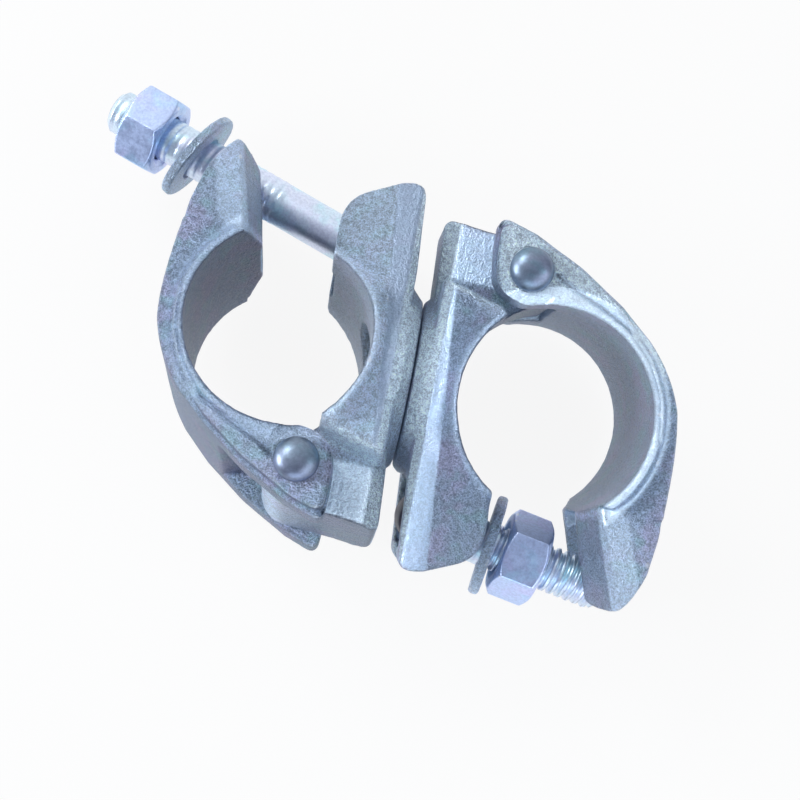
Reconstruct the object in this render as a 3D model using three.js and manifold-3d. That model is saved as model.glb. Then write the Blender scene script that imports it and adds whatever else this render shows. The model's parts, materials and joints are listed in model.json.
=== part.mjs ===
// Drop-forged swivel scaffold coupler for two 48.3 mm tubes, in millimetres, +Z up.
// Two identical halves meet back to back on one swivel rivet. The coupler lies on its side:
// the tube axes stand nearly upright and the swivel axis runs along +X, from half A to half B.
import * as THREE from 'three';
import { mergeVertices } from 'three/addons/utils/BufferGeometryUtils.js';
import Module from 'manifold-3d';

const wasm = await Module();
wasm.setup();

// ---------------------------------------------------------------------------------------------
// Driving dimensions. Each half has its own axes: x points from the tube axis to the swivel
// plate, y points to the T-bolt end, and z runs along the tube. Every piece is symmetric in z.
// ---------------------------------------------------------------------------------------------
const GAP = 0.3; // clearance between neighbouring pieces
const SEGMENTS = 48; // facets round a bore or an outline's full turn
const SMALL = 32; // facets round a rivet, washer or bolt

const SADDLE_RADIUS = 24.7; // bore of the forged base
const FLAP_RADIUS = 24.3; // bore of the hinged flap
const SWIVEL_OFFSET = 35.3; // tube axis to the plane where the halves meet
const TWIST = 0.26; // radians between the halves about the swivel axis

const CHEEK_X = 12.1; // inner end of the two T-bolt cheeks
const CHEEK_FOOT_Y = 21.1;
const EAR_TOP = 42.4;
const BAR_BACK = 32.4; // back face of the spine
const BAND_START = 26.2; // trimmed flash band on the sides of the base
const BAND_END = 29.9;
const BAND_HALF = 21.3; // half width of the base across that band
const CHEEK_HALF = 17.2; // half width of the base at the cheeks' inner ends
const BACK_HALF = 18.6; // half width of the base at its back
const BLOCK_LOW = -24.4; // lower end of the wide part of the base, at its back
const LIP_HALF = 24.8; // half width of the saddle lip

const PLATE_RADIUS = 20.0; // swivel plate
const PLATE_ROOT = 23.0;
const SWIVEL_SHANK = 8.0;
const SWIVEL_HEAD = 12.0;
const SWIVEL_SEAT = 28.3; // depth of the rivet head's recess, from the tube axis
const SWIVEL_FACE = 25.6;

const HINGE = new THREE.Vector2(13.5, -29.5); // hinge rivet in the half's axes
const EYE_RADIUS = 7.7;
const LUG_HALF = 12.5;
const LUG_BACK = 34.3;
const LUG_LOW = -39.2;
const HINGE_SHANK = 4.0;
const HINGE_HEAD = 5.1;
const HINGE_DOME = 3.5;
const EYE_HALF = 22.2; // half width over the flap's two hinge eyes

const FLAP_HALF = 19.6; // half width of the flap's outer rib
const RIM_HALF = 22.8; // half width of the flap's inner rim
const RIM_OUTER = 28.2;
const FLAP_SLOT_X = 4.3; // depth of the clevis slot that straddles the lug
const FORK_FLOOR = 19.0; // floor of the slot that the bolt drops into
const FORK_RIDGE = new THREE.Vector2(-20.0, 18.5); // start of the ridge along each fork leg
const FORK_TURN = 26.4; // degrees between that ridge and the y axis

const PIN = new THREE.Vector2(25.3, 29.3); // axis of the T-bolt's head in the half's axes
const PIN_RADIUS = 6.5;
const PIN_HALF = 15.0;
const PIN_PLAY = 1.9; // play of the head in its seat, away from the bore
const BOLT_RADIUS = 5.6;
const SLOT_HALF = 7.0; // half width of every slot the bolt passes
const SLOT_FLOOR = 21.4;
const WASHER_RADIUS = 12.3;
const WASHER_THICKNESS = 2.5;
const NUT_FLATS = 19.0;
const NUT_HEIGHT = 10.4;

// What differs between the halves: the flap's turn from the concentric position, the bolt's lean
// away from the bore, the play its head takes up in the seat, its length, how far along it the
// washer and nut sit, the loose washer's tilt about y and z, and the nut's turn.
const HALVES = {
  a: {
    flapTurn: -0.2, lean: 0.35, pinShift: 0, boltLength: 79.4,
    washerAt: 55.6, washerTilt: [0.17, -0.17], nutAt: 68.8, nutTurn: 0.39,
  },
  b: {
    flapTurn: -0.13, lean: 0.183, pinShift: PIN_PLAY, boltLength: 45.6,
    washerAt: 16.8, washerTilt: [0.1, 0.05], nutAt: 25.0, nutTurn: Math.PI / 6,
  },
};

const FORGED = { color: 0x9ea7b4, roughness: 0.55, metalness: 0.85 };
const PLATED = { color: 0xaab4c2, roughness: 0.35, metalness: 0.9 };

// ---------------------------------------------------------------------------------------------
// Solids
// ---------------------------------------------------------------------------------------------
function solid(geometry) {
  const bare = geometry.index ? geometry.toNonIndexed() : geometry.clone();
  bare.deleteAttribute('normal');
  bare.deleteAttribute('uv');
  const merged = mergeVertices(bare, 1e-4);
  return new wasm.Manifold(new wasm.Mesh({
    numProp: 3,
    vertProperties: new Float32Array(merged.attributes.position.array),
    triVerts: new Uint32Array(merged.index.array),
  }));
}

function toGeometry(manifold) {
  const mesh = manifold.getMesh();
  const geometry = new THREE.BufferGeometry();
  geometry.setAttribute('position', new THREE.BufferAttribute(mesh.vertProperties, 3));
  geometry.setIndex(new THREE.BufferAttribute(mesh.triVerts, 1));
  geometry.computeVertexNormals();
  return geometry;
}

// A prism of an x-y outline, centred on z = 0.
function prismZ(shape, half) {
  const geometry = new THREE.ExtrudeGeometry(shape, {
    depth: 2 * half, bevelEnabled: false, curveSegments: SEGMENTS / 4,
  });
  geometry.translate(0, 0, -half);
  return solid(geometry);
}

// A prism along y, from low to high, of an outline whose first coordinate is x and second z.
function prismY(shape, low, high) {
  const geometry = new THREE.ExtrudeGeometry(shape, { depth: high - low, bevelEnabled: false });
  geometry.rotateX(Math.PI / 2);
  geometry.translate(0, high, 0);
  return solid(geometry);
}

// A prism along x, from low to high, of an outline whose first coordinate is y and second z.
function prismX(shape, low, high) {
  const geometry = new THREE.ExtrudeGeometry(shape, { depth: high - low, bevelEnabled: false });
  geometry.applyMatrix4(new THREE.Matrix4().makeBasis(
    new THREE.Vector3(0, 1, 0), new THREE.Vector3(0, 0, 1), new THREE.Vector3(1, 0, 0),
  ));
  geometry.translate(low, 0, 0);
  return solid(geometry);
}

function box(minimum, maximum) {
  const low = new THREE.Vector3(...minimum);
  const high = new THREE.Vector3(...maximum);
  const size = high.clone().sub(low);
  const geometry = new THREE.BoxGeometry(size.x, size.y, size.z);
  const centre = low.add(high).multiplyScalar(0.5);
  geometry.translate(centre.x, centre.y, centre.z);
  return solid(geometry);
}

// A turned piece: [radius, height] pairs, spun about y and then laid along z or x.
function turned(profile, axis, segments = SEGMENTS) {
  const points = profile.map(([radius, height]) => new THREE.Vector2(radius, height));
  const geometry = new THREE.LatheGeometry(points, segments);
  if (axis === 'z') geometry.rotateX(Math.PI / 2);
  if (axis === 'x') geometry.rotateZ(-Math.PI / 2);
  return solid(geometry);
}

function cylinder(radius, low, high, axis) {
  return turned([[0, low], [radius, low], [radius, high], [0, high]], axis);
}

function cylinderAt(centre, radius, half) {
  return cylinder(radius, -half, half, 'z').translate([centre.x, centre.y, 0]);
}

function outline(points) {
  return new THREE.Shape(points.map(([x, y]) => new THREE.Vector2(x, y)));
}

// The same outline above and below the first coordinate's axis.
function mirrored(points) {
  return outline([...points, ...points.map(([along, half]) => [along, -half]).reverse()]);
}

// ---------------------------------------------------------------------------------------------
// The forged base
// ---------------------------------------------------------------------------------------------
function baseOutline() {
  const shape = new THREE.Shape();
  shape.moveTo(CHEEK_X, CHEEK_FOOT_Y);
  shape.lineTo(CHEEK_X - 0.2, 30.5);
  shape.quadraticCurveTo(CHEEK_X - 0.1, 37.0, 17.2, 39.2);
  shape.lineTo(24.6, EAR_TOP - 0.3);
  shape.quadraticCurveTo(27.0, EAR_TOP + 0.2, 28.6, EAR_TOP);
  shape.quadraticCurveTo(30.8, EAR_TOP - 0.4, 30.9, 38.6);
  shape.lineTo(BAR_BACK - 0.4, 22);
  shape.lineTo(BAR_BACK, BLOCK_LOW);
  shape.lineTo(18.6, -20.4);
  shape.quadraticCurveTo(17.2, -20.0, 16.4, -18.4);
  shape.lineTo(8, -9);
  shape.lineTo(8, 12);
  return shape;
}

// Cheeks and spine: drafted both ways from the trimmed band on their sides.
function earAndSpine() {
  const section = mirrored([
    [5, CHEEK_HALF - 1.8], [BAND_START, BAND_HALF], [BAND_END, BAND_HALF], [BAR_BACK + 1, BACK_HALF],
  ]);
  return prismZ(baseOutline(), BAND_HALF + 5).intersect(prismY(section, -60, 60));
}

// The saddle lip flares wider than the spine and fades out towards the cheeks.
function saddleLip() {
  const flare = turned([
    [SADDLE_RADIUS - 2, -LIP_HALF], [SADDLE_RADIUS + 0.9, -LIP_HALF],
    [31.6, -BAND_HALF + 1], [31.6, BAND_HALF - 1],
    [SADDLE_RADIUS + 0.9, LIP_HALF], [SADDLE_RADIUS - 2, LIP_HALF], [SADDLE_RADIUS - 2, -LIP_HALF],
  ], 'z');
  const fade = mirrored([[-25, 22.6], [-13, LIP_HALF], [9, LIP_HALF], [23, 18.4]]);
  const sector = outline([[0, 0], [18.6, -20.4], [31, -24], [31, 30], [13.8, 24.2]]);
  return flare.intersect(prismX(fade, 0, 40)).intersect(prismZ(sector, LIP_HALF));
}

function hingeLug() {
  const shape = new THREE.Shape();
  shape.moveTo(24, -12);
  shape.lineTo(HINGE.x - EYE_RADIUS, HINGE.y + 6);
  shape.absarc(HINGE.x, HINGE.y, EYE_RADIUS, Math.PI, 1.5 * Math.PI, false);
  shape.lineTo(26.4, LUG_LOW + 0.9);
  shape.lineTo(LUG_BACK - 1.6, LUG_LOW);
  shape.quadraticCurveTo(LUG_BACK, LUG_LOW + 0.3, LUG_BACK, LUG_LOW + 2.2);
  shape.lineTo(LUG_BACK - 1.2, -15);
  const section = mirrored([[0, LUG_HALF], [30.4, LUG_HALF], [LUG_BACK + 0.4, LUG_HALF - 3]]);
  return prismZ(shape, LUG_HALF).intersect(prismY(section, -60, 0));
}

function swivelPlate() {
  const face = SWIVEL_OFFSET - GAP / 2;
  return turned([
    [0, 29.5], [PLATE_ROOT, 29.5], [PLATE_ROOT, BAR_BACK - 0.2],
    [PLATE_RADIUS + 0.5, face - 0.6], [PLATE_RADIUS, face], [0, face],
  ], 'x');
}

// The head of the T-bolt lies in a seat that is open at the back and closed at both ends.
function boltSeat() {
  const reach = PIN_RADIUS + 0.4;
  const half = PIN_HALF + 0.4;
  const top = PIN.y + PIN_PLAY;
  const mouth = box([PIN.x, PIN.y - reach, -half], [SWIVEL_OFFSET + 1, top + reach, half]);
  const between = box([PIN.x - reach, PIN.y, -half], [PIN.x, top, half]);
  return cylinderAt(PIN, reach, half)
    .add(cylinderAt(new THREE.Vector2(PIN.x, top), reach, half))
    .add(mouth)
    .add(between);
}

function base() {
  return earAndSpine()
    .add(saddleLip())
    .add(hingeLug())
    .add(swivelPlate())
    .subtract(cylinder(SADDLE_RADIUS, -40, 40, 'z'))
    .subtract(box([0, SLOT_FLOOR, -SLOT_HALF], [SWIVEL_OFFSET + 1, 60, SLOT_HALF]))
    .subtract(boltSeat())
    .subtract(cylinder(SWIVEL_SHANK + GAP, 0, 50, 'x'))
    .subtract(cylinder(SWIVEL_HEAD + GAP, 0, SWIVEL_SEAT, 'x'))
    .subtract(cylinderAt(HINGE, HINGE_SHANK + GAP, 40));
}

// ---------------------------------------------------------------------------------------------
// The hinged flap, drawn closed and concentric with the tube
// ---------------------------------------------------------------------------------------------
function flapOutline() {
  const shape = new THREE.Shape();
  shape.moveTo(8, -22.2);
  shape.lineTo(12.2, -21.5);
  shape.quadraticCurveTo(18.6, -21.2, 20.9, -25.6);
  shape.quadraticCurveTo(22.6, -29.5, 23.6, -37.2);
  shape.quadraticCurveTo(23.6, -39.3, 21.6, -39.4);
  shape.lineTo(14.8, -38.3);
  shape.lineTo(2.3, -34.3);
  shape.lineTo(-9.5, -28.7);
  shape.lineTo(-18.3, -23.1);
  shape.quadraticCurveTo(-25.2, -17.4, -28.7, -10.2);
  shape.quadraticCurveTo(-31.4, -2.4, -32.6, 8);
  shape.lineTo(-33.4, 15);
  shape.lineTo(-17.4, 15);
  shape.lineTo(-10, 0);
  return shape;
}

// The fork's legs are ridged: a bevel falls from each ridge to the bolt's slot, and a draft to the back.
function fork() {
  const shape = new THREE.Shape();
  shape.moveTo(-32.8, 10);
  shape.lineTo(-34.0, 20);
  shape.lineTo(-33.6, 28.4);
  shape.quadraticCurveTo(-31.4, 37.0, -28.2, 38.4);
  shape.quadraticCurveTo(-24.4, 39.4, -22.8, 36.4);
  shape.lineTo(-18.4, 26);
  shape.lineTo(-15.4, 19.2);
  shape.quadraticCurveTo(-15.0, 17.0, -16.6, 16.0);
  shape.lineTo(-20, 10);
  const section = mirrored([[-15, 18], [-5.6, 20], [0, 21.2], [1.2, 19.6], [6.2, 4]]);
  const ridged = prismY(section, -12, 30)
    .rotate([0, 0, FORK_TURN])
    .translate([FORK_RIDGE.x, FORK_RIDGE.y, 0]);
  return prismZ(shape, RIM_HALF).intersect(ridged);
}

// The arms that carry the hinge eyes stand proud of the rib on both sides and fade into it.
function flapArms() {
  const shape = new THREE.Shape();
  shape.moveTo(8, -22.2);
  shape.lineTo(12.2, -21.5);
  shape.quadraticCurveTo(18.2, -21.2, 20.5, -25.6);
  shape.quadraticCurveTo(22.0, -29.5, 22.8, -36.0);
  shape.quadraticCurveTo(22.6, -37.8, 20.6, -38.0);
  shape.lineTo(14.8, -37.2);
  shape.lineTo(2.3, -33.2);
  shape.lineTo(-9.5, -27.6);
  shape.lineTo(-19.6, -20.4);
  shape.lineTo(-10, -10);
  const fade = mirrored([[-24, FLAP_HALF - 1.4], [-8, EYE_HALF], [26, EYE_HALF]]);
  return prismZ(shape, EYE_HALF).intersect(prismY(fade, -60, 0));
}

function flapRim() {
  const ring = turned([
    [FLAP_RADIUS - 2, -RIM_HALF], [FLAP_RADIUS + 1.6, -RIM_HALF], [RIM_OUTER, -FLAP_HALF],
    [RIM_OUTER, FLAP_HALF], [FLAP_RADIUS + 1.6, RIM_HALF], [FLAP_RADIUS - 2, RIM_HALF],
    [FLAP_RADIUS - 2, -RIM_HALF],
  ], 'z');
  const sector = outline([[0, 0], [-16.6, 16.0], [-40, 17], [-40, -40], [2, -40], [4, -30], [8, -22.2]]);
  return ring.intersect(prismZ(sector, RIM_HALF));
}

function flap() {
  const slot = SLOT_HALF + 0.2;
  const lugRoom = LUG_HALF + 0.6;
  const clevis = outline([
    [FLAP_SLOT_X, -10], [FLAP_SLOT_X, -26.8], [-9, -33.2], [-9, -60], [60, -60], [60, -10],
  ]);
  return prismZ(flapOutline(), FLAP_HALF)
    .add(fork())
    .add(flapRim())
    .add(flapArms())
    .subtract(cylinder(FLAP_RADIUS, -40, 40, 'z'))
    .subtract(box([-60, FORK_FLOOR, -slot], [0, 60, slot]))
    .subtract(prismZ(clevis, lugRoom))
    .subtract(cylinderAt(HINGE, HINGE_SHANK + GAP, 40))
    .translate([-HINGE.x, -HINGE.y, 0]);
}

// ---------------------------------------------------------------------------------------------
// Rivets, bolt, washer and nut
// ---------------------------------------------------------------------------------------------
function domePoints(radius, height, from, direction) {
  const steps = 4;
  return Array.from({ length: steps }, (_, index) => {
    const angle = (index / steps) * (Math.PI / 2);
    return [radius * Math.cos(angle), from + direction * height * Math.sin(angle)];
  });
}

function hingeRivet() {
  const seat = EYE_HALF + GAP;
  const lower = domePoints(HINGE_HEAD, HINGE_DOME, -seat, -1).reverse();
  const upper = domePoints(HINGE_HEAD, HINGE_DOME, seat, 1);
  return turned([
    [0, -seat - HINGE_DOME], ...lower, [HINGE_SHANK, -seat],
    [HINGE_SHANK, seat], ...upper, [0, seat + HINGE_DOME],
  ], 'z', SMALL);
}

function swivelRivet() {
  const seat = SWIVEL_OFFSET - SWIVEL_SEAT + GAP;
  const face = SWIVEL_OFFSET - SWIVEL_FACE;
  return turned([
    [0, -face], [SWIVEL_HEAD - 2, -face], [SWIVEL_HEAD, -face + 1.2], [SWIVEL_HEAD, -seat],
    [SWIVEL_SHANK, -seat], [SWIVEL_SHANK, seat],
    [SWIVEL_HEAD, seat], [SWIVEL_HEAD, face - 1.2], [SWIVEL_HEAD - 2, face], [0, face],
  ], 'x');
}

// Drawn with its head on the origin and its shank along -x.
function tBolt(length) {
  const shank = turned([
    [0, -length], [BOLT_RADIUS - 1.3, -length], [BOLT_RADIUS, -length + 1.3], [BOLT_RADIUS, 0], [0, 0],
  ], 'x', SMALL);
  return shank.add(cylinder(PIN_RADIUS, -PIN_HALF, PIN_HALF, 'z'));
}

function washer() {
  const half = WASHER_THICKNESS / 2;
  const inner = BOLT_RADIUS + 0.8;
  return turned([
    [inner, -half], [WASHER_RADIUS - 0.5, -half], [WASHER_RADIUS, -half + 0.5],
    [WASHER_RADIUS, half - 0.5], [WASHER_RADIUS - 0.5, half], [inner, half], [inner, -half],
  ], 'x', SMALL);
}

function nut() {
  const half = NUT_HEIGHT / 2;
  const corner = NUT_FLATS / Math.sqrt(3);
  const hexagon = new THREE.CylinderGeometry(corner, corner, NUT_HEIGHT, 6);
  hexagon.rotateZ(-Math.PI / 2);
  const chamfer = turned([
    [0, -half], [NUT_FLATS / 2 - 0.3, -half], [corner + 0.2, -half + 1.3],
    [corner + 0.2, half - 1.3], [NUT_FLATS / 2 - 0.3, half], [0, half],
  ], 'x');
  return solid(hexagon)
    .intersect(chamfer)
    .subtract(cylinder(BOLT_RADIUS + GAP, -half - 1, half + 1, 'x'));
}

// ---------------------------------------------------------------------------------------------
// Assembly
// ---------------------------------------------------------------------------------------------
function piece(name, manifold, finish, parent) {
  const mesh = new THREE.Mesh(toGeometry(manifold), new THREE.MeshStandardMaterial(finish));
  mesh.name = name;
  parent.add(mesh);
  return mesh;
}

function buildHalf(letter) {
  const settings = HALVES[letter];
  const half = new THREE.Group();
  piece(`body_${letter}`, base(), FORGED, half);
  piece(`hinge_rivet_${letter}`, hingeRivet(), PLATED, half).position.set(HINGE.x, HINGE.y, 0);

  const flapGroup = new THREE.Group();
  flapGroup.position.set(HINGE.x, HINGE.y, 0);
  flapGroup.rotation.z = settings.flapTurn;
  piece(`flap_${letter}`, flap(), FORGED, flapGroup);
  half.add(flapGroup);

  const boltGroup = new THREE.Group();
  boltGroup.position.set(PIN.x, PIN.y + settings.pinShift, 0);
  boltGroup.rotation.z = -settings.lean;
  piece(`t_bolt_${letter}`, tBolt(settings.boltLength), PLATED, boltGroup);
  const washerMesh = piece(`washer_${letter}`, washer(), PLATED, boltGroup);
  washerMesh.position.x = -settings.washerAt;
  washerMesh.rotation.set(0, ...settings.washerTilt);
  const nutMesh = piece(`nut_${letter}`, nut(), PLATED, boltGroup);
  nutMesh.position.x = -settings.nutAt;
  nutMesh.rotation.x = settings.nutTurn;
  half.add(boltGroup);
  return half;
}

const coupler = new THREE.Group();

const halfA = buildHalf('a');
halfA.position.x = -SWIVEL_OFFSET;
halfA.rotation.x = -TWIST / 2;
coupler.add(halfA);

const halfB = buildHalf('b');
halfB.position.x = SWIVEL_OFFSET;
halfB.rotation.x = TWIST / 2;
halfB.rotation.z = Math.PI;
coupler.add(halfB);

piece('swivel_rivet', swivelRivet(), PLATED, coupler);

// The origin is under the middle of the part, on the surface it lies on.
coupler.updateMatrixWorld(true);
const bounds = new THREE.Box3().setFromObject(coupler, true);
const middle = bounds.getCenter(new THREE.Vector3());
coupler.position.set(-middle.x, -middle.y, -bounds.min.z);

const part = new THREE.Group();
part.add(coupler);

export default part;
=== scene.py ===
"""Looks of the drop-forged swivel scaffold coupler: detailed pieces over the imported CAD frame."""

import json
import math

import bpy
import numpy as np
from mathutils import Matrix, Vector, noise


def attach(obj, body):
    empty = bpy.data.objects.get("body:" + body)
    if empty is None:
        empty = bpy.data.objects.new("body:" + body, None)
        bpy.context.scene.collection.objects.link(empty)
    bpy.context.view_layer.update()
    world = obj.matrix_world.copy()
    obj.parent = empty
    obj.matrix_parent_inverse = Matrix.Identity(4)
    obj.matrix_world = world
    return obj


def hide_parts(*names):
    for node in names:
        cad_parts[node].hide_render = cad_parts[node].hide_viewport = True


MM = 0.001
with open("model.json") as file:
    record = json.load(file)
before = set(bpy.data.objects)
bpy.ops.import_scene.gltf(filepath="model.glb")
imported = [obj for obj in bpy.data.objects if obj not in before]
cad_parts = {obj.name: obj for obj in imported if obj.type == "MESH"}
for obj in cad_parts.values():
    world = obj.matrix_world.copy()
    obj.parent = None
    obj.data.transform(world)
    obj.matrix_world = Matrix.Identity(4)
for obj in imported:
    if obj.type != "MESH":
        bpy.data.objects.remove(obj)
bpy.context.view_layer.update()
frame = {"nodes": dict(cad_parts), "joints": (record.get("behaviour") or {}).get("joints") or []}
JOINTS = {joint["name"]: joint for joint in frame["joints"]}
SWIVEL = Vector(JOINTS["swivel"]["pos_m"])

# Dimensions in millimetres, in a half's own axes: x towards the swivel plate, y towards the
# T-bolt, z along the tube. Angles are in radians.
SWIVEL_OFFSET = 35.3
TWIST = 0.26
HINGE = (13.5, -29.5)
PIN = (25.3, 29.3)
BORE_BASE = 24.7
BORE_FLAP = 24.3
BAND = (26.2, 29.9)
THREAD_PITCH = 2.15
THREAD_DEPTH = 0.85
BOLT_RADIUS = 5.6
HEAD_REACH = 15.0
HEAD_RADIUS = 6.5
HEAD_ROUNDING = [(4.6, HEAD_REACH), (5.8, 14.5), (6.4, 13.4), (HEAD_RADIUS, 12.0)]
NUT_SINK_RADIUS = 7.3
# The washers' even share of smoothness and of painted light.
WASHER_SMOOTHNESS_AND_PAINTED_LIGHT = 0.15

# What differs between the halves: the pose, the T-bolt's sizes and wear, where the washer and nut
# sit on it, how smooth each region of the forgings is, and how much painted light and painted
# shade each region gets, from 0 to 1.
HALVES = {
    "a": {"flap_turn": -0.2, "lean": 0.35, "pin_shift": 0.0, "length": 79.4, "thread_from": 29.0,
          "washer": 55.6, "nut": 68.8, "nut_turn": 0.39, "worn": 0.88,
          "base_painted_light_and_shade": {"back": 1.0, "plain": 0.4, "lug": 0.85, "shade": 0.0, "band_shade": 0.48},
          "flap_smooth_painted_light_and_shade": {"rim": 0.0, "rim_smooth": 0.5, "rim_shade": 0.2, "arm": 0.1, "fork": 0.1,
                        "bore": 0.72}},
    "b": {"flap_turn": -0.13, "lean": 0.183, "pin_shift": 1.9, "length": 45.6, "thread_from": 14.0,
          "washer": 16.8, "nut": 25.0, "nut_turn": math.pi / 6, "worn": 0.0,
          "base_painted_light_and_shade": {"back": 1.0, "plain": 0.0, "lug": 0.1, "shade": 0.15, "band_shade": 0.1},
          "flap_smooth_painted_light_and_shade": {"rim": 0.8, "rim_smooth": 0.85, "rim_shade": 0.0, "arm": 1.0, "fork": 0.25,
                        "bore": 0.42}},
}

# Lines forged into the flap's two faces: the crease outside the rim, the facet under the rivet, and
# the softened edge around the rivet's eye.
CREASE = [(7.5, -30.4), (4.5, -28.9), (-4.0, -26.8), (-11.7, -24.0), (-18.3, -18.8), (-23.4, -11.5),
          (-26.4, -2.0)]
FACET = [(11.3, -34.4), (14.5, -36.4), (18.0, -37.4)]
EYE_EDGE = [(24.0, -37.0), (22.2, -29.0), (20.2, -25.0), (17.0, -21.8), (12.2, -21.5)]

# The ridge on the fork's legs: a point on it, and the turn of the direction across it.
FORK_RIDGE = (-20.0, 18.5)
FORK_TURN = math.radians(26.4)

# How finely each kind of node is remeshed, and how many passes then soften its edges.
FORGING_VOXEL = 0.42
RIVET_VOXEL = 0.35
WASHER_VOXEL = 0.28
NUT_VOXEL = 0.26
FORGING_PASSES = 9
FASTENER_PASSES = 4

# Waviness of the forgings, and a seed for each piece's own waves.
ROLL_HEIGHT = 0.07
ROLL_WIDTH = 9.0
SEEDS = {"base_a": 1, "base_b": 5, "flap_a": 9, "flap_b": 13, "swivel": 21, "washer_a": 31,
         "washer_b": 37}

# The camera: its place from the swivel's centre, its three axes and its lens.
CAMERA_OFFSET = (-12.599, -61.387, 311.874)
CAMERA_RIGHT = (0.98031, 0.18458, 0.07016)
CAMERA_UP = (-0.19408, 0.96613, 0.17007)
CAMERA_BACK = (-0.03639, -0.18033, 0.98293)
CAMERA_LENS = 59.293

# The direction in which the surround is brightest.
BRIGHT_SIDE = (-0.35, 0.85, 0.25)

# The floor, in metres: half its width, and how far it lies below the coupler.
FLOOR_REACH = 3.0
FLOOR_DROP = 0.0002


# ---------------------------------------------------------------------------------------------
# Frames and meshes
# ---------------------------------------------------------------------------------------------
def millimetres(x, y, z):
    return Matrix.Translation(Vector((x, y, z)) * MM)


def half_frame(letter):
    """Where a half's own axes lie in the shared frame."""
    sign = 1 if letter == "b" else -1
    turn = Matrix.Rotation(math.pi, 4, "Z") if letter == "b" else Matrix.Identity(4)
    lean = Matrix.Rotation(sign * TWIST / 2, 4, "X")
    return Matrix.Translation(SWIVEL) @ lean @ millimetres(sign * SWIVEL_OFFSET, 0, 0) @ turn


def flap_frame(letter):
    hinge = millimetres(*HINGE, 0)
    turn = Matrix.Rotation(HALVES[letter]["flap_turn"], 4, "Z")
    return half_frame(letter) @ hinge @ turn @ hinge.inverted()


def bolt_frame(letter, along=0.0, turn=0.0):
    """The bolt's axes: x back through its head, and the shank along -x."""
    lean = Matrix.Rotation(-HALVES[letter]["lean"], 4, "Z")
    pin = millimetres(PIN[0], PIN[1] + HALVES[letter]["pin_shift"], 0)
    place = millimetres(-along, 0, 0) @ Matrix.Rotation(turn, 4, "X")
    return half_frame(letter) @ pin @ lean @ place


def coordinates(mesh):
    flat = np.empty(len(mesh.vertices) * 3, np.float32)
    mesh.vertices.foreach_get("co", flat)
    return flat.reshape(-1, 3).astype(float) / MM


def normals(mesh):
    flat = np.empty(len(mesh.vertices) * 3, np.float32)
    mesh.vertices.foreach_get("normal", flat)
    return flat.reshape(-1, 3).astype(float)


def set_coordinates(mesh, points):
    mesh.vertices.foreach_set("co", (points * MM).astype(np.float32).ravel())
    mesh.update()


def attribute(mesh, name, values):
    layer = mesh.attributes.new(name, "FLOAT", "POINT")
    layer.data.foreach_set("value", values.astype(np.float32))


def new_object(name, mesh, placed):
    made = bpy.data.objects.new(name, mesh)
    bpy.context.scene.collection.objects.link(made)
    made.matrix_world = placed
    return made


def modified(made, *modifiers):
    """Applies modifiers, each a type and its settings, and keeps the mesh that results."""
    for kind, settings in modifiers:
        modifier = made.modifiers.new(kind.lower(), kind)
        for key, value in settings.items():
            setattr(modifier, key, value)
    bpy.context.view_layer.update()
    evaluated = made.evaluated_get(bpy.context.evaluated_depsgraph_get())
    mesh = bpy.data.meshes.new_from_object(evaluated)
    made.modifiers.clear()
    made.data = mesh


def forged_copy(name, node, placed, voxel, passes):
    """A dense, soft-edged copy of a CAD node, in the axes it is placed with."""
    mesh = frame["nodes"][node].data.copy()
    mesh.materials.clear()
    mesh.transform(placed.inverted())
    made = new_object(name, mesh, placed)
    modified(
        made,
        ("REMESH", {"mode": "VOXEL", "voxel_size": voxel * MM, "use_smooth_shade": True}),
        ("SMOOTH", {"factor": 0.5, "iterations": passes}),
    )
    made.data.name = name
    return made


def turned_mesh(name, profile, segments):
    """A closed mesh spun about z from (radius, along) pairs whose ends lie on the axis."""
    inner = np.array(profile[1:-1], float)
    angles = np.arange(segments) * 2 * math.pi / segments
    ring = np.stack([np.cos(angles), np.sin(angles)], 1)
    around = inner[:, None, :1] * ring[None]
    along = np.repeat(inner[:, None, 1:], segments, 1)
    body = np.concatenate([around, along], 2).reshape(-1, 3)
    ends = [(0, 0, profile[0][1]), (0, 0, profile[-1][1])]
    points = np.vstack([body, ends])
    return grid_mesh(name, points, len(inner), segments)


def grid_mesh(name, points, rings, segments):
    """A tube of quads from rings of points, capped by the last two points."""
    faces = []
    for ring in range(rings - 1):
        low, high = ring * segments, (ring + 1) * segments
        for k in range(segments):
            after = (k + 1) % segments
            faces.append((low + k, low + after, high + after, high + k))
    first, last = rings * segments, rings * segments + 1
    top = (rings - 1) * segments
    for k in range(segments):
        after = (k + 1) % segments
        faces.append((first, after, k))
        faces.append((last, top + k, top + after))
    mesh = bpy.data.meshes.new(name)
    mesh.from_pydata([tuple(point) for point in points * MM], [], faces)
    mesh.validate()
    mesh.polygons.foreach_set("use_smooth", [True] * len(mesh.polygons))
    return mesh


# ---------------------------------------------------------------------------------------------
# Small shape changes on the dense meshes
# ---------------------------------------------------------------------------------------------
def smoothstep(low, high, values):
    t = np.clip((values - low) / (high - low), 0, 1)
    return t * t * (3 - 2 * t)


def bump(values, centre, width):
    return np.exp(-((values - centre) / width) ** 2)


def path_distance(points, path):
    """Signed distance in x-y to a polyline; positive on its left."""
    best = np.full(len(points), 1e9)
    side = np.zeros(len(points))
    for start, end in zip(path[:-1], path[1:]):
        a, b = np.array(start, float), np.array(end, float)
        along = b - a
        offset = points[:, :2] - a
        t = np.clip(offset @ along / (along @ along), 0, 1)
        gap = offset - t[:, None] * along
        distance = np.hypot(gap[:, 0], gap[:, 1])
        nearer = distance < best
        best = np.where(nearer, distance, best)
        side = np.where(nearer, np.sign(along[0] * offset[:, 1] - along[1] * offset[:, 0]), side)
    return best * side


def uneven(points, scale, seed):
    """Smooth noise from -1 to 1, with features about scale millimetres wide."""
    moved = points / scale + np.array([seed * 7.3, seed * 3.1, seed * 5.7])
    return np.array([noise.noise(Vector(point)) for point in moved])


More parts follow.
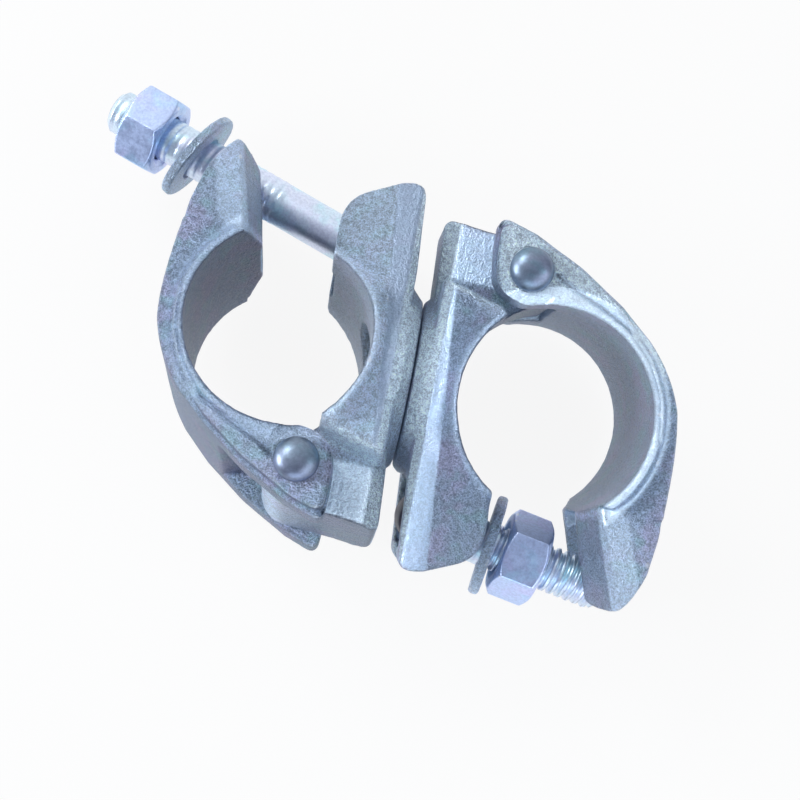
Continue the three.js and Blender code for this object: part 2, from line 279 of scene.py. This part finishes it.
def soften(mesh, weight, passes):
    """Evens the surface out where weight is above 0, leaving the rest as it is."""
    points = coordinates(mesh)
    pairs = np.empty(len(mesh.edges) * 2, np.int32)
    mesh.edges.foreach_get("vertices", pairs)
    starts, ends = pairs.reshape(-1, 2).T
    count = np.bincount(pairs, minlength=len(points))
    for _ in range(passes):
        for axis in range(3):
            values = points[:, axis]
            ahead = np.bincount(starts, values[ends], len(points))
            behind = np.bincount(ends, values[starts], len(points))
            total = ahead + behind
            points[:, axis] = values + 0.5 * weight * (total / count - values)
    set_coordinates(mesh, points)


def roll_surface(mesh, amount, scale, seed):
    """The slight waviness that hammer forging leaves."""
    points = coordinates(mesh)
    rise = amount * (uneven(points, scale, seed) + 0.5 * uneven(points, scale / 2.7, seed + 1) - 0.5)
    set_coordinates(mesh, points + normals(mesh) * rise[:, None])


# ---------------------------------------------------------------------------------------------
# Materials
# ---------------------------------------------------------------------------------------------
class Nodes:
    """Short ways to add shader nodes to one material."""

    def __init__(self, name):
        self.material = bpy.data.materials.new(name)
        self.material.use_nodes = True
        self.tree = self.material.node_tree
        self.shader = self.tree.nodes["Principled BSDF"]
        self.place = self.add("ShaderNodeTexCoord").outputs["Object"]

    def add(self, kind, **settings):
        node = self.tree.nodes.new(kind)
        for key, value in settings.items():
            setattr(node, key, value)
        return node

    def link(self, source, target):
        if hasattr(source, "links"):
            self.tree.links.new(source, target)
        else:
            target.default_value = source

    def attribute(self, name):
        return self.add("ShaderNodeAttribute", attribute_name=name).outputs["Fac"]

    def noise(self, scale, detail=4.0, rough=0.6, stretch=None):
        node = self.add("ShaderNodeTexNoise")
        node.inputs["Scale"].default_value = scale
        node.inputs["Detail"].default_value = detail
        node.inputs["Roughness"].default_value = rough
        place = self.place
        if stretch:
            mapping = self.add("ShaderNodeMapping")
            mapping.inputs["Scale"].default_value = stretch
            self.link(place, mapping.inputs["Vector"])
            place = mapping.outputs["Vector"]
        self.link(place, node.inputs["Vector"])
        return node.outputs["Fac"]

    def between(self, value, low, high, start=0.0, end=1.0):
        node = self.add("ShaderNodeMapRange", interpolation_type="SMOOTHSTEP")
        self.link(value, node.inputs["Value"])
        for key, number in zip(("From Min", "From Max", "To Min", "To Max"), (low, high, start, end)):
            node.inputs[key].default_value = number
        return node.outputs["Result"]

    def math(self, operation, first, second=0.0):
        node = self.add("ShaderNodeMath", operation=operation)
        self.link(first, node.inputs[0])
        self.link(second, node.inputs[1])
        return node.outputs["Value"]

    def mix(self, share, first, second, blend="MIX"):
        node = self.add("ShaderNodeMix", data_type="RGBA", blend_type=blend)
        self.link(share, node.inputs["Factor"])
        self.link(first, node.inputs["A"])
        self.link(second, node.inputs["B"])
        return node.outputs["Result"]

    def mix_value(self, share, first, second):
        node = self.add("ShaderNodeMix", data_type="FLOAT")
        self.link(share, node.inputs["Factor"])
        self.link(first, node.inputs["A"])
        self.link(second, node.inputs["B"])
        return node.outputs["Result"]

    def bump(self, height, strength, distance, under=None):
        node = self.add("ShaderNodeBump")
        self.link(strength, node.inputs["Strength"])
        node.inputs["Distance"].default_value = distance
        self.link(height, node.inputs["Height"])
        if under:
            self.link(under, node.inputs["Normal"])
        return node.outputs["Normal"]

    def pointiness(self):
        return self.add("ShaderNodeNewGeometry").outputs["Pointiness"]


def colour(red, green, blue):
    return (red, green, blue, 1.0)


def tinted(nodes, base, violet, cyan):
    """Zinc's faint violet and cyan tints, in soft patches."""
    patches = nodes.between(nodes.noise(90, 3.0), 0.46, 0.64)
    tint = nodes.mix(patches, base, violet)
    spots = nodes.between(nodes.noise(150, 3.0, 0.5, (1.0, 1.3, 0.8)), 0.50, 0.68)
    return nodes.mix(spots, tint, cyan)


def forged_material():
    nodes = Nodes("forged_galvanised")
    smooth = nodes.attribute("smooth")
    shade = nodes.attribute("shade")
    rough_base = tinted(nodes, colour(0.39, 0.50, 0.67), colour(0.44, 0.48, 0.68),
                        colour(0.37, 0.54, 0.66))
    base = nodes.mix(smooth, rough_base, colour(0.50, 0.65, 0.84))
    # Painted light: the attribute read here lifts the colour towards a pale blue.
    base = nodes.mix(nodes.attribute("painted_light"), base, colour(0.70, 0.85, 1.0))
    grain = nodes.noise(2600, 4.0, 0.6)
    coarse = nodes.noise(850, 4.0, 0.6)
    mottle = nodes.math("ADD", grain, nodes.math("MULTIPLY", coarse, 0.5))
    speckle = nodes.between(mottle, 0.56, 0.94, 0.58, 1.24)
    share = nodes.mix_value(smooth, 0.95, 0.35)
    speckled = nodes.mix(share, base, speckle_colour(nodes, base, speckle))
    # Edges are lightened, partly as rubbed-bare zinc and partly as a painted highlight; less so where the
    # painted shade is strong.
    edge = nodes.between(nodes.pointiness(), 0.515, 0.58)
    rubbed_edge_and_highlight = nodes.math("MULTIPLY", edge, nodes.between(shade, 0.1, 0.4, 0.5, 0.1))
    worn = nodes.mix(rubbed_edge_and_highlight, speckled, colour(0.80, 0.84, 0.90))
    # Painted shade: hollows, and the shade attribute, darken the colour towards a dark violet grey.
    hollow = nodes.between(nodes.pointiness(), 0.49, 0.42)
    painted_shade_share = nodes.math("MAXIMUM", nodes.math("MULTIPLY", hollow, 0.7), shade)
    dim = nodes.mix(painted_shade_share, worn, nodes.mix(1.0, worn, colour(0.22, 0.21, 0.25), "MULTIPLY"))
    nodes.link(dim, nodes.shader.inputs["Base Color"])
    nodes.shader.inputs["Metallic"].default_value = 0.88
    rough = nodes.between(coarse, 0.3, 0.7, 0.32, 0.50)
    nodes.link(nodes.mix_value(smooth, rough, nodes.between(coarse, 0.3, 0.7, 0.27, 0.38)),
               nodes.shader.inputs["Roughness"])
    grainy = nodes.bump(nodes.math("ADD", grain, nodes.math("MULTIPLY", coarse, 1.4)),
                        nodes.mix_value(smooth, 1.0, 0.2), 0.0018)
    brushed = nodes.noise(1200, 3.0, 0.5, (1.6, 0.2, 1.0))
    normal = nodes.bump(brushed, nodes.math("MULTIPLY", smooth, 0.2), 0.0004, grainy)
    nodes.link(normal, nodes.shader.inputs["Normal"])
    return nodes.material


def speckle_colour(nodes, base, factor):
    """The base colour times a grey of the given factor."""
    grey = nodes.add("ShaderNodeCombineColor")
    for channel in ("Red", "Green", "Blue"):
        nodes.link(factor, grey.inputs[channel])
    return nodes.mix(1.0, base, grey.outputs["Color"], "MULTIPLY")


def plated_material(name, base, low, high, edge_wear_and_highlight):
    """Smooth zinc-plated steel with a fine grain, edges lightened partly by wear and partly by a painted
    highlight, and painted shade in the hollows.
    """
    nodes = Nodes(name)
    tint = tinted(nodes, base, colour(base[0] * 1.08, base[1] * 0.97, base[2] * 1.02),
                  colour(base[0] * 0.92, base[1] * 1.05, base[2] * 1.03))
    grain = nodes.noise(1500, 4.0, 0.6)
    speckle = nodes.between(grain, 0.35, 0.65, 0.90, 1.08)
    surface = speckle_colour(nodes, tint, speckle)
    # Edges are lightened, partly as rubbed zinc and partly as a painted highlight.
    edge = nodes.between(nodes.pointiness(), 0.52, 0.60)
    bright = nodes.mix(nodes.math("MULTIPLY", edge, edge_wear_and_highlight), surface, colour(0.82, 0.85, 0.92))
    # Painted shade in the hollows.
    hollow = nodes.between(nodes.pointiness(), 0.49, 0.42)
    dark = nodes.mix(nodes.math("MULTIPLY", hollow, 0.7), bright, colour(0.14, 0.15, 0.20))
    nodes.link(dark, nodes.shader.inputs["Base Color"])
    nodes.shader.inputs["Metallic"].default_value = 0.92
    nodes.link(nodes.between(nodes.noise(500, 3.0), 0.3, 0.7, low, high),
               nodes.shader.inputs["Roughness"])
    nodes.link(nodes.bump(grain, 0.06, 0.0003), nodes.shader.inputs["Normal"])
    return nodes.material


FORGED = forged_material()
RIVET = plated_material("rivet_steel", colour(0.20, 0.26, 0.35), 0.34, 0.42, 0.1)
# The T-bolt's head sits in the gap between the forgings; its near-black colour is painted shade.
HEAD_PAINTED_SHADE = plated_material("head_painted_shade", colour(0.10, 0.10, 0.13), 0.55, 0.65, 0.0)
PLATED = plated_material("plated_fastener", colour(0.68, 0.82, 0.96), 0.32, 0.40, 0.5)
NUT_FINISH = plated_material("nut_finish", colour(0.54, 0.66, 0.96), 0.28, 0.40, 0.6)


def finish(made, material, node, body):
    """Bakes a piece's placing into its mesh, as the CAD nodes have it, gives it its material, hangs it on
    its body and hides the CAD node it stands in for.
    """
    made.data.transform(made.matrix_world)
    made.matrix_world = Matrix.Identity(4)
    made.data.materials.clear()
    made.data.materials.append(material)
    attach(made, body)
    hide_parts(node)


# ---------------------------------------------------------------------------------------------
# The pieces
# ---------------------------------------------------------------------------------------------
def forged_base(letter):
    made = forged_copy(f"base_forging_{letter}", f"body_{letter}", half_frame(letter),
                       FORGING_VOXEL, FORGING_PASSES)
    mesh = made.data
    x, y, z = coordinates(mesh).T
    radius = np.hypot(x, y)
    lip = smoothstep(26, 27.5, radius) * smoothstep(34, 32, radius) * smoothstep(28, 24, np.abs(y))
    step = bump(y, -22.5, 3.2) * smoothstep(14.5, 17, x)
    soften(mesh, np.clip(lip + step, 0, 1) * (np.abs(z) > 12), 45)
    roll_surface(mesh, ROLL_HEIGHT, ROLL_WIDTH, SEEDS[f"base_{letter}"])
    facing = normals(mesh)
    side = np.abs(facing[:, 2])
    edge = 27.4 - 0.085 * y
    upper = smoothstep(-25, -22, y) * smoothstep(0.7, 0.9, side) * (np.abs(z) > 15)
    band = smoothstep(edge - 0.3, edge + 0.3, x) * smoothstep(BAND[1] + 0.6, BAND[1], x) * upper
    lug = smoothstep(-24, -26, y) * smoothstep(0.8, 0.95, side)
    rim = bump(radius, BORE_BASE + 0.8, 0.9) * smoothstep(13, 16, np.abs(z))
    attribute(mesh, "smooth", np.clip(band * 0.8 + lug * 0.7 + rim * 0.6, 0, 1))
    # Painted light: the back strip, the tread of the step, the lug and the plain faces are lifted towards
    # a paler colour; the tread fully, the rest by each half's shares.
    back = smoothstep(BAND[1] - 0.2, BAND[1] + 0.6, x) * smoothstep(0.35, 0.6, side)
    tread = smoothstep(-0.15, -0.5, facing[:, 1]) * bump(y, -22.5, 3.5) * (np.abs(z) > 12)
    plain = 1 - np.clip(band + lug + back + tread, 0, 1)
    region_shares = HALVES[letter]["base_painted_light_and_shade"]
    painted_light = back * region_shares["back"] + plain * region_shares["plain"] + tread + lug * region_shares["lug"]
    attribute(mesh, "painted_light", np.clip(painted_light, 0, 1))
    # Painted shade: the bore, the band, the plain faces and the end faces at the foot are darkened.
    bore = smoothstep(BORE_BASE + 0.6, BORE_BASE + 0.1, radius) * (x < 25)
    foot = smoothstep(-0.5, -0.8, facing[:, 1]) * smoothstep(-36, -38, y)
    dim = bore * 0.55 + band * region_shares["band_shade"] + plain * region_shares["shade"] + foot * 0.75
    attribute(mesh, "shade", np.clip(dim, 0, 1))
    finish(made, FORGED, f"body_{letter}", f"base_{letter}")


def forge_flap_lines(mesh):
    """Presses the crease, the facet and the eye's softened edge into both faces of a flap."""
    points, facing = coordinates(mesh), normals(mesh)
    up = np.sign(points[:, 2]) * smoothstep(0.35, 0.8, np.abs(facing[:, 2])) * (np.abs(points[:, 2]) > 15)
    crease = path_distance(points, CREASE)
    facet = path_distance(points, FACET)
    edge = np.abs(path_distance(points, EYE_EDGE))
    arm_end = smoothstep(-21, -25, points[:, 1])
    press = 0.75 * np.exp(-(crease / 0.5) ** 2)
    press += 0.35 * np.exp(-(facet / 0.45) ** 2)
    press += 0.9 * smoothstep(2.6, 0.2, edge) * arm_end
    press += 0.5 * smoothstep(2.6, 0.0, np.hypot(points[:, 0], points[:, 1]) - BORE_FLAP)
    points[:, 2] -= up * press
    set_coordinates(mesh, points)


def forged_flap(letter):
    made = forged_copy(f"flap_forging_{letter}", f"flap_{letter}", flap_frame(letter),
                       FORGING_VOXEL, FORGING_PASSES)
    mesh = made.data
    x, y, z = coordinates(mesh).T
    radius = np.hypot(x, y)
    blend = smoothstep(BORE_FLAP + 1.4, BORE_FLAP + 2.6, radius) * (np.abs(z) > 15)
    soften(mesh, blend * bump(x, -17, 6) * bump(y, -19, 6), 14)
    soften(mesh, smoothstep(BORE_FLAP + 0.5, BORE_FLAP + 0.2, radius) * (np.abs(z) < 19), 14)
    roll_surface(mesh, ROLL_HEIGHT, ROLL_WIDTH, SEEDS[f"flap_{letter}"])
    forge_flap_lines(mesh)
    points, facing = coordinates(mesh), normals(mesh)
    x, y, z = points.T
    radius = np.hypot(x, y)
    side = np.abs(facing[:, 2])
    region_shares = HALVES[letter]["flap_smooth_painted_light_and_shade"]
    rim = smoothstep(BORE_FLAP + 5.2, BORE_FLAP + 3.6, radius) * smoothstep(0.5, 0.8, side)
    arm = smoothstep(-14, -22, y) * smoothstep(0.6, 0.85, side)
    across = (x - FORK_RIDGE[0]) * math.cos(FORK_TURN) + (y - FORK_RIDGE[1]) * math.sin(FORK_TURN)
    legs = smoothstep(15, 18, y) * smoothstep(0.2, 0.5, side) * smoothstep(-6.0, -5.2, across)
    attribute(mesh, "smooth", np.clip(rim * region_shares["rim_smooth"] + legs * 0.4, 0, 1))
    # Painted light on the rim, the arm and the fork's legs.
    painted_light = rim * region_shares["rim"] + arm * region_shares["arm"] + legs * region_shares["fork"]
    attribute(mesh, "painted_light", np.clip(painted_light, 0, 1))
    # Painted shade in the bore, on the outer faces and on the rim.
    bore = smoothstep(BORE_FLAP + 0.7, BORE_FLAP + 0.1, radius)
    outer = smoothstep(0.55, 0.1, side) * smoothstep(BORE_FLAP + 1.5, BORE_FLAP + 3, radius)
    dim = bore * region_shares["bore"] + outer * 0.65 + rim * region_shares["rim_shade"]
    attribute(mesh, "shade", np.clip(dim, 0, 1))
    finish(made, FORGED, f"flap_{letter}", f"flap_{letter}")


def dome(radius, height, seat, direction, steps):
    """Profile of a formed rivet head, from its skirt to its crown."""
    angles = np.linspace(0, math.pi / 2, steps)[:-1]
    return [(radius * math.cos(a) ** 0.9, seat + direction * height * math.sin(a)) for a in angles]


def hinge_rivet(letter):
    seat, head, height, shank = 22.5, 5.1, 3.5, 4.0
    low = [(head - 0.2, -seat)] + dome(head, height, -seat - 0.15, -1, 14)
    high = [(head - 0.2, seat)] + dome(head, height - 0.15, seat + 0.15, 1, 14)
    profile = [(0, -seat - height), *low[::-1], (shank, -seat + 0.05),
               (shank, seat - 0.05), *high, (0, seat + height)]
    mesh = turned_mesh(f"hinge_rivet_{letter}", profile, 72)
    made = new_object(f"hinge_rivet_head_{letter}", mesh, half_frame(letter) @ millimetres(*HINGE, 0))
    finish(made, RIVET, f"hinge_rivet_{letter}", f"base_{letter}")


def swivel_rivet():
    placed = Matrix.Translation(SWIVEL)
    made = forged_copy("swivel_rivet_steel", "swivel_rivet", placed, RIVET_VOXEL, FASTENER_PASSES)
    roll_surface(made.data, 0.04, 5.0, SEEDS["swivel"])
    finish(made, RIVET, "swivel_rivet", "base_a")


def thread_profile(phase):
    """How deep the thread is, from 0 at its crest to 1 at its root, over one turn's phase."""
    return smoothstep(0.12, 0.46, 0.5 - np.abs((phase % 1.0) - 0.5))


def t_bolt(letter):
    half = HALVES[letter]
    segments, step = 72, 0.16
    length = half["length"]
    along = np.append(np.arange(0.0, length - 0.3, step), length - 0.12)
    angles = np.arange(segments) * 2 * math.pi / segments
    far, turn = np.meshgrid(along, angles, indexing="ij")
    phase = far / THREAD_PITCH - turn / (2 * math.pi)
    begun = smoothstep(half["thread_from"], half["thread_from"] + 3.0, far)
    ragged = 0.10 * np.sin(far * 5.3 + 2.0 * np.sin(turn * 2)) * np.sin(turn * 3 + far)
    deep = THREAD_DEPTH * (1 - half["worn"]) * begun * (thread_profile(phase) + ragged * begun)
    neck = 0.12 * (1 - begun)
    end = length - far
    chamfer = np.clip(1.3 - end, 0, None) * 0.9
    radius = BOLT_RADIUS - deep - neck - chamfer
    points = np.stack([-far, radius * np.cos(turn), radius * np.sin(turn)], 2).reshape(-1, 3)
    points = np.vstack([points, [(0, 0, 0), (-length, 0, 0)]])
    shank = grid_mesh(f"t_bolt_shank_{letter}", points, len(along), segments)
    made = new_object(f"t_bolt_shank_{letter}", shank, bolt_frame(letter))
    finish(made, PLATED, f"t_bolt_{letter}", f"bolt_{letter}")
    near = [(across, -reach) for across, reach in HEAD_ROUNDING]
    profile = [(0, -HEAD_REACH), *near, (HEAD_RADIUS, 0.0), *HEAD_ROUNDING[::-1], (0, HEAD_REACH)]
    head = turned_mesh(f"t_bolt_head_{letter}", profile, 64)
    top = new_object(f"t_bolt_head_{letter}", head, bolt_frame(letter))
    finish(top, HEAD_PAINTED_SHADE, f"t_bolt_{letter}", f"bolt_{letter}")


def washer(letter):
    half = HALVES[letter]
    placed = bolt_frame(letter, half["washer"])
    made = forged_copy(f"washer_disc_{letter}", f"washer_{letter}", placed, WASHER_VOXEL,
                       FASTENER_PASSES)
    mesh = made.data
    roll_surface(mesh, 0.05, 4.0, SEEDS[f"washer_{letter}"])
    count = len(mesh.vertices)
    # The whole washer gets an even share of smoothness and of painted light.
    attribute(mesh, "smooth", np.full(count, WASHER_SMOOTHNESS_AND_PAINTED_LIGHT))
    attribute(mesh, "shade", np.zeros(count))
    attribute(mesh, "painted_light", np.full(count, WASHER_SMOOTHNESS_AND_PAINTED_LIGHT))
    finish(made, FORGED, f"washer_{letter}", f"washer_{letter}")


def nut(letter):
    half = HALVES[letter]
    placed = bolt_frame(letter, half["nut"], half["nut_turn"])
    made = forged_copy(f"nut_hexagon_{letter}", f"nut_{letter}", placed, NUT_VOXEL, FASTENER_PASSES)
    mesh = made.data
    points = coordinates(mesh)
    radius = np.hypot(points[:, 1], points[:, 2])
    sink = np.clip(NUT_SINK_RADIUS - radius, 0, 1.3) * smoothstep(3.4, 4.6, np.abs(points[:, 0])) * 0.8
    points[:, 0] -= np.sign(points[:, 0]) * sink
    set_coordinates(mesh, points)
    finish(made, NUT_FINISH, f"nut_{letter}", f"nut_{letter}")


for letter in HALVES:
    forged_base(letter)
    forged_flap(letter)
    hinge_rivet(letter)
    t_bolt(letter)
    washer(letter)
    nut(letter)
swivel_rivet()


# ---------------------------------------------------------------------------------------------
# Floor, light and camera
# ---------------------------------------------------------------------------------------------
def pale_floor():
    mesh = bpy.data.meshes.new("floor")
    reach = FLOOR_REACH
    corners = [(-reach, -reach, 0), (reach, -reach, 0), (reach, reach, 0), (-reach, reach, 0)]
    mesh.from_pydata(corners, [], [(0, 1, 2, 3)])
    made = new_object("floor", mesh, Matrix.Translation((0, 0, -FLOOR_DROP)))
    nodes = Nodes("floor")
    nodes.shader.inputs["Base Color"].default_value = colour(0.06, 0.06, 0.06)
    nodes.shader.inputs["Emission Color"].default_value = colour(1.0, 1.0, 1.0)
    nodes.shader.inputs["Emission Strength"].default_value = 0.90
    nodes.shader.inputs["Roughness"].default_value = 0.9
    nodes.shader.inputs["Specular IOR Level"].default_value = 0.1
    made.data.materials.append(nodes.material)


def area_light(name, offset, size, power, tint):
    """A rectangular light aimed at the swivel, offset from it and sized in metres."""
    data = bpy.data.lights.new(name, "AREA")
    data.shape = "RECTANGLE"
    data.size, data.size_y = size
    data.energy = power
    data.color = tint
    made = bpy.data.objects.new(name, data)
    made.location = SWIVEL + Vector(offset)
    made.rotation_euler = (-Vector(offset)).to_track_quat("-Z", "Y").to_euler()
    bpy.context.scene.collection.objects.link(made)


def world_light():
    """A soft studio surround, brightest over the far left and dim behind the camera."""
    world = bpy.data.worlds.new("studio")
    world.use_nodes = True
    tree = world.node_tree
    back = tree.nodes["Background"]
    place = tree.nodes.new("ShaderNodeTexCoord")
    along = tree.nodes.new("ShaderNodeVectorMath")
    along.operation = "DOT_PRODUCT"
    along.inputs[1].default_value = BRIGHT_SIDE
    ramp = tree.nodes.new("ShaderNodeValToRGB")
    tree.links.new(place.outputs["Generated"], along.inputs[0])
    tree.links.new(along.outputs["Value"], ramp.inputs["Fac"])
    steps = ramp.color_ramp.elements
    steps[0].position, steps[0].color = 0.0, (0.29, 0.31, 0.37, 1)
    steps[1].position, steps[1].color = 0.85, (1.0, 1.0, 1.0, 1)
    middle = steps.new(0.30)
    middle.color = (0.50, 0.53, 0.60, 1)
    tree.links.new(ramp.outputs["Color"], back.inputs["Color"])
    back.inputs["Strength"].default_value = 0.95
    bpy.context.scene.world = world


def photo_camera():
    data = bpy.data.cameras.new("camera")
    data.sensor_width = 36
    data.lens = CAMERA_LENS
    data.clip_start, data.clip_end = 0.01, 20
    made = bpy.data.objects.new("camera", data)
    turn = Matrix([CAMERA_RIGHT, CAMERA_UP, CAMERA_BACK]).transposed()
    made.matrix_world = Matrix.Translation(SWIVEL + Vector(CAMERA_OFFSET) * MM) @ turn.to_4x4()
    bpy.context.scene.collection.objects.link(made)
    bpy.context.scene.camera = made


pale_floor()
world_light()
area_light("key", (-0.55, 0.45, 0.6), (0.4, 0.3), 3.2, (1.0, 0.99, 0.98))
area_light("side", (-0.8, -0.1, 0.3), (0.4, 0.3), 5.0, (0.95, 0.97, 1.0))
area_light("fill", (0.7, -0.3, 0.5), (0.9, 0.7), 3.4, (0.93, 0.97, 1.0))
area_light("front", (0.15, -0.75, 0.3), (0.8, 0.4), 2.4, (0.80, 0.90, 1.0))
photo_camera()

view_settings = bpy.context.scene.view_settings
view_settings.view_transform = "Standard"
view_settings.look = "None"
